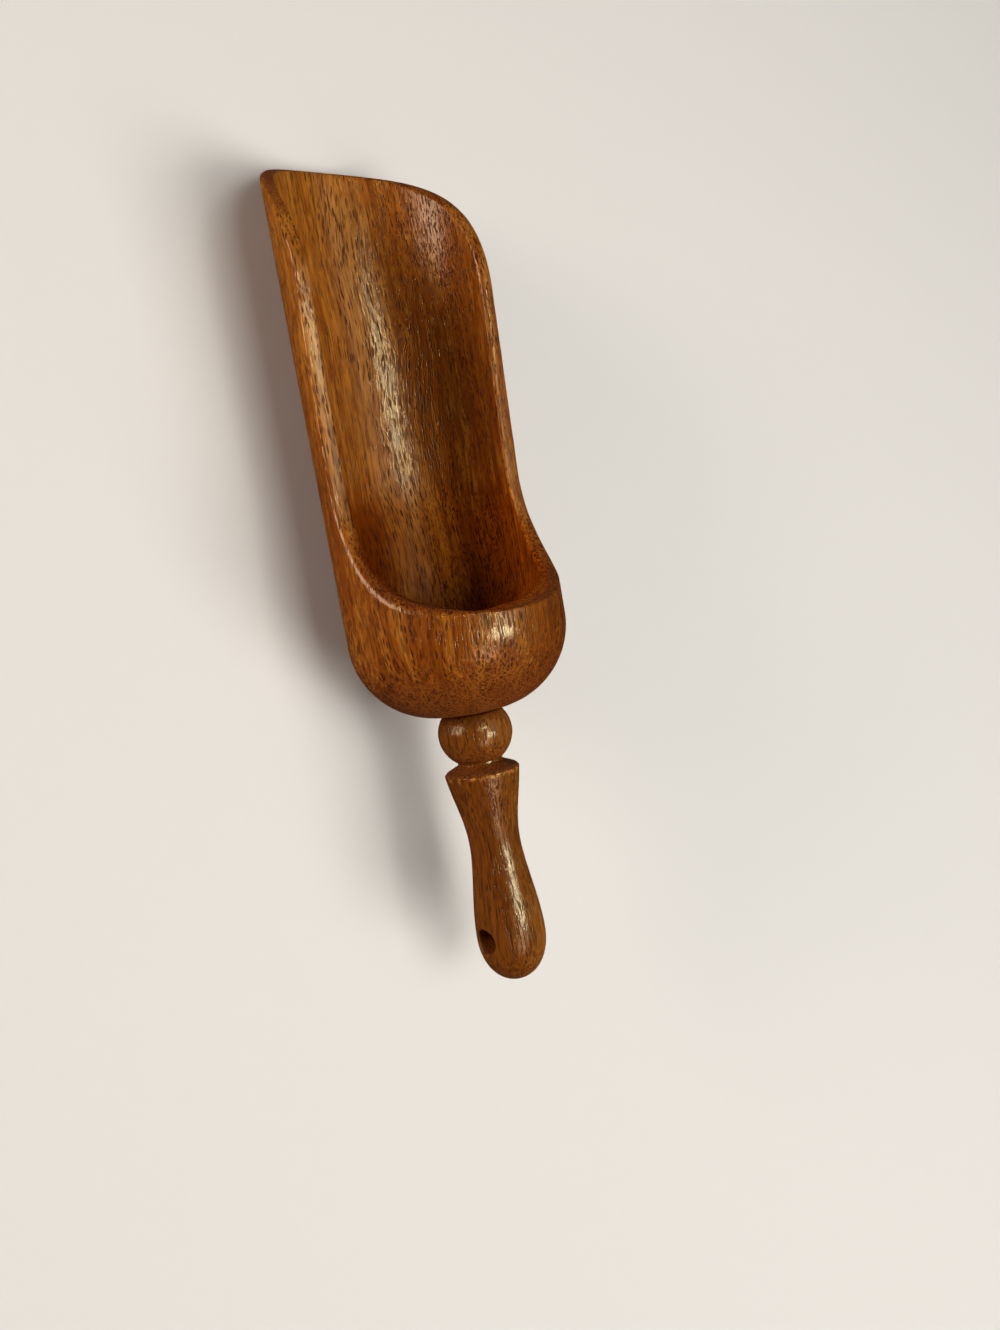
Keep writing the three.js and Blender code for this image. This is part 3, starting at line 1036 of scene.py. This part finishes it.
def bowl_marks(n, place, normal):
    """The bowl's wood and varnish change from place to place.

    It is paler to the tip, partly in its own tone and partly as a painted gradient of light, and on the base.
    Painted light pales its left outside and its right rim's face, and painted shade darkens it to the left
    and to the right, where its own tone is darker too, and most low on the cup's sides, as a painted shadow.
    The cup is reddened by painted shade and lightened by painted light bounced round the hollow; its varnish
    is thin there. Pores are dots on the right and dashes on the base.
    """
    x, y, _ = n.parts(place)
    outward, cut, inside = bowl_surfaces(n, place, normal)
    base = n.times(n.stretch(x, *BASE), n.stretch(outward, 0.0, 0.5))
    right_cut = n.times(cut, n.stretch(y, *CUT_RIGHT))
    # Painted shade and light in the cup: reddened and lightened, as by light bounced round the hollow.
    red = n.times(inside, n.stretch(x, *RED_CUP))
    # Painted shadow low on the cup's sides, where the lip and rims shade them.
    sides = n.maths("MAXIMUM", n.stretch(y, *LOW_LEFT), n.stretch(y, *LOW_RIGHT, 0.0, LOW_RIGHT_SHARE))
    painted_cup_shadow = n.times(n.times(sides, inside), n.stretch(x, *CUP_SIDES))
    # Paler to the tip: partly the board's own tone, partly a painted gradient of light.
    drift = n.times(x, TONE_TIP)
    # Painted shade to the sides, partly own tone on the right; painted light on the left outside and right
    # cut.
    for factor, change in (
        (n.stretch(y, *TOWARDS_RIGHT), TONE_RIGHT), (n.stretch(y, *TOWARDS_LEFT), TONE_PAINTED_LEFT_SHADE),
        (n.stretch(y, *OUTER_LEFT), TONE_PAINTED_LEFT_LIGHT), (base, TONE_BASE), (right_cut, TONE_RIGHT_CUT),
        (red, TONE_PAINTED_CUP_LIGHT), (painted_cup_shadow, TONE_PAINTED_CUP_SHADOW),
    ):
        drift = n.maths("MULTIPLY_ADD", factor, change, drift)
    floor_share = n.times(inside, n.stretch(x, *CUP_FLOOR))
    dull = n.maths("MULTIPLY_ADD", cut, DULL_CUT, n.times(floor_share, DULL_FLOOR))
    bare = n.times(inside, n.stretch(x, *THIN_VARNISH))
    return drift, n.stretch(y, *DOTTED_RIGHT), base, dull, red, bare


def handle_marks(n, place, normal):
    """The handle is paler on its right, grip and bead, and its collar's face is dark, rough and dotted.

    Painted light pales its right and painted shade darkens its left. Painted glints fleck the collar's edge.
    """
    x = n.maths("SUBTRACT", n.parts(place)[0], SEAT.x / MM)
    face = n.times(n.stretch(n.parts(normal)[0], 0.5, 0.8), n.stretch(x, *COLLAR_FACE))
    # Pale flecks on the collar's edge are painted glints.
    edge = n.times(n.stretch(x, *COLLAR_EDGE_FRONT), n.stretch(x, *COLLAR_EDGE_BACK))
    painted_glints = n.times(edge, n.stretch(n.field(place, *EDGE_FLECK), *FLECKED))
    ends = n.maths("MAXIMUM", n.stretch(x, *ON_BEAD), n.stretch(x, *ON_GRIP))
    # Painted light on the handle's right and painted shade on its left.
    drift = n.stretch(n.parts(place)[1], *HANDLE_SIDES, TONE_HANDLE_PAINTED_LIGHT, TONE_HANDLE_PAINTED_SHADE)
    for factor, change in ((ends, TONE_HANDLE_ENDS), (face, TONE_FACE), (painted_glints, TONE_PAINTED_GLINTS)):
        drift = n.maths("MULTIPLY_ADD", factor, change, drift)
    return drift, face, 0.0, n.times(face, DULL_FACE), 0.0, 0.0


def bowl_wood():
    """Medium reddish brown wood with a clear crossed figure."""
    return wood(
        "bowl_wood", bowl_marks,
        tones=((0.08, 0.013, 0.001), (0.2, 0.05, 0.0038), (0.49, 0.195, 0.023)),
        pore=(0.04, 0.006, 0.001), end_shade=(0.9, 0.8, 0.6),
        shift=(0, 0, 0), pith=(40, 70, -45), wander=9.0, roe=0.6, lines=0.45, run=1.0,
    )


def handle_wood():
    """Darker, straighter and more streaked wood."""
    return wood(
        "handle_wood", handle_marks,
        tones=((0.06, 0.0125, 0.0015), (0.168, 0.048, 0.005), (0.39, 0.15, 0.02)),
        pore=(0.045, 0.0105, 0.0015), end_shade=(1.0, 0.85, 0.75),
        shift=(300, 11, 7), pith=(200, 30, 40), wander=4.0, roe=0.3, lines=0.6, run=2.5,
    )


def floor_paint():
    """Plain matt paint. Far from the scoop the camera sees it in the backdrop's even colour."""
    material = bpy.data.materials.new("floor_paint")
    n = Nodes(material)
    reach = n.vector("LENGTH", n.add("ShaderNodeTexCoord").outputs["Object"])
    camera_ray = n.add("ShaderNodeLightPath").outputs["Is Camera Ray"]
    far = n.times(n.stretch(reach, *FADE), camera_ray)
    near = n.add("ShaderNodeBsdfPrincipled", {"Base Color": (*FLOOR_COLOUR, 1), "Roughness": FLOOR_ROUGHNESS})
    even = n.add("ShaderNodeEmission", {"Color": (*BACKDROP_COLOUR, 1), "Strength": 1.0})
    blend = n.add("ShaderNodeMixShader", {0: far, 1: near.outputs[0], 2: even.outputs[0]})
    n.add("ShaderNodeOutputMaterial", {"Surface": blend.outputs[0]})
    return material


# Surroundings

FLOOR_GAP = 0.03
FLOOR_COLOUR = (0.72, 0.71, 0.69)
FLOOR_ROUGHNESS = 0.8
BACKDROP_COLOUR = (0.8, 0.77, 0.72)

# In metres: how far the floor reaches, and between which distances it fades into the backdrop.
FLOOR_REACH = 3.0
FADE = (0.4, 1.2)

WORLD_COLOUR = (1.0, 0.99, 0.97)
WORLD_STRENGTH = 0.08
WORLD_IN_GLOSS = 0.015

# The lamps face a point of the bowl this far from the seat.
LIT_PLACE = 50.0

# Each lamp's name, direction from that point, distance and size in metres, power, colour and the light that
# it gives: matt for the colours of things, or gloss for their shine.
LAMPS = (
    ("top_lamp", (-0.1, -0.1, 0.99), 1.0, (0.5, 0.5), 4.2, (1.0, 0.97, 0.92), "matt"),
    ("back_lamp", (-0.58, -0.36, 0.72), 2.0, (1.1, 1.1), 30.0, (1.0, 0.96, 0.9), "matt"),
    ("low_lamp", (0.4, 0.9, 0.1), 1.0, (0.55, 0.4), 10.5, (1.0, 0.88, 0.78), "matt"),
    ("left_lamp", (0.36, 0.92, 0.0), 1.0, (0.6, 0.36), 10.0, (1.0, 0.82, 0.76), "gloss"),
    ("tip_lamp", (0.25, 0.0, 0.968), 1.0, (0.19, 0.12), 4.1, (1.0, 0.98, 0.8), "gloss"),
    ("rim_lamp", (0.25, -0.52, 0.82), 1.0, (0.6, 0.22), 1.2, (1.0, 0.95, 0.75), "gloss"),
    ("lip_lamp", (-0.19, -0.22, 0.955), 1.0, (0.22, 0.22), 7.5, (1.0, 0.99, 0.86), "gloss"),
    ("cone_lamp", (-0.55, 0.05, 0.83), 1.0, (0.3, 0.2), 1.8, (1.0, 0.82, 0.8), "gloss"),
)


def floor():
    """A plain pale floor just under the scoop's lowest line."""
    mesh = bpy.data.meshes.new("floor")
    signs = ((-1, -1), (1, -1), (1, 1), (-1, 1))
    mesh.from_pydata([(x * FLOOR_REACH, y * FLOOR_REACH, 0) for x, y in signs], [], [(0, 1, 2, 3)])
    mesh.materials.append(floor_paint())
    piece = placed("floor", mesh)
    piece.location.z = -FLOOR_GAP * MM
    piece.visible_glossy = False


def area_light(name, direction, distance, size, power, colour, gives):
    """A soft rectangular light that faces the bowl, with its first side nearest to the x axis."""
    data = bpy.data.lights.new(name, "AREA")
    data.shape = "RECTANGLE"
    data.size, data.size_y = size
    data.energy = power
    data.color = colour
    lamp = placed(name, data)
    back = Vector(direction).normalized()
    target = Vector((SEAT.x + LIT_PLACE * MM, 0, SEAT.z))
    side = (Vector((1, 0, 0)) - back * back.x).normalized()
    turn = Matrix((side, back.cross(side), back)).transposed().to_4x4()
    lamp.matrix_world = Matrix.Translation(target + back * distance) @ turn
    lamp.visible_diffuse = gives == "matt"
    lamp.visible_glossy = gives == "gloss"


def surround():
    """A weak even light from all round, weaker in the gloss. The camera sees the backdrop's colour there."""
    world = bpy.data.worlds.new("surround")
    bpy.context.scene.world = world
    n = Nodes(world)
    rays = n.add("ShaderNodeLightPath").outputs
    strength = n.maths("MULTIPLY_ADD", rays["Is Glossy Ray"], WORLD_IN_GLOSS - WORLD_STRENGTH, WORLD_STRENGTH)
    light = n.add("ShaderNodeBackground", {"Color": (*WORLD_COLOUR, 1), "Strength": strength})
    backdrop = n.add("ShaderNodeBackground", {"Color": (*BACKDROP_COLOUR, 1), "Strength": 1.0})
    inputs = {0: rays["Is Camera Ray"], 1: light.outputs[0], 2: backdrop.outputs[0]}
    seen = n.add("ShaderNodeMixShader", inputs)
    n.add("ShaderNodeOutputWorld", {"Surface": seen.outputs[0]})


CAMERA_PLACE = Vector((-7.06, 133.50, 240.93)) * MM
CAMERA_AIM = Vector((-27.80, -11.05, 27.48)) * MM
CAMERA_ROLL = math.radians(10.006)
CAMERA_LENS = 27.07
CAMERA_CLIP = 5.0
SENSOR = 36.0


def camera():
    """The camera at the photograph's angle: the tip points up in the picture, a little to the left."""
    data = bpy.data.cameras.new("camera")
    data.sensor_fit = "VERTICAL"
    data.sensor_width = data.sensor_height = SENSOR
    data.lens = CAMERA_LENS
    data.clip_start = CAMERA_CLIP * MM
    forward = (CAMERA_AIM - CAMERA_PLACE).normalized()
    tip = Vector((1, 0, 0))
    upright = (tip - forward * tip.dot(forward)).normalized()
    up = upright * math.cos(CAMERA_ROLL) + forward.cross(upright) * math.sin(CAMERA_ROLL)
    right = forward.cross(up)
    eye = placed("camera", data)
    eye.matrix_world = Matrix.Translation(CAMERA_PLACE) @ Matrix((right, up, -forward)).transposed().to_4x4()
    bpy.context.scene.camera = eye


def dress(piece, node, material):
    """Gives a piece its material and its place in the frame."""
    piece.data.materials.append(material)
    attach(piece, "root")
    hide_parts(node)


bpy.context.scene.view_settings.view_transform = "Standard"
camera()
floor()
for lamp in LAMPS:
    area_light(*lamp)
surround()
dress(bowl_skin().mesh("turned_bowl"), "scoop_bowl", bowl_wood())
dress(handle_skin().mesh("turned_handle"), "handle", handle_wood())
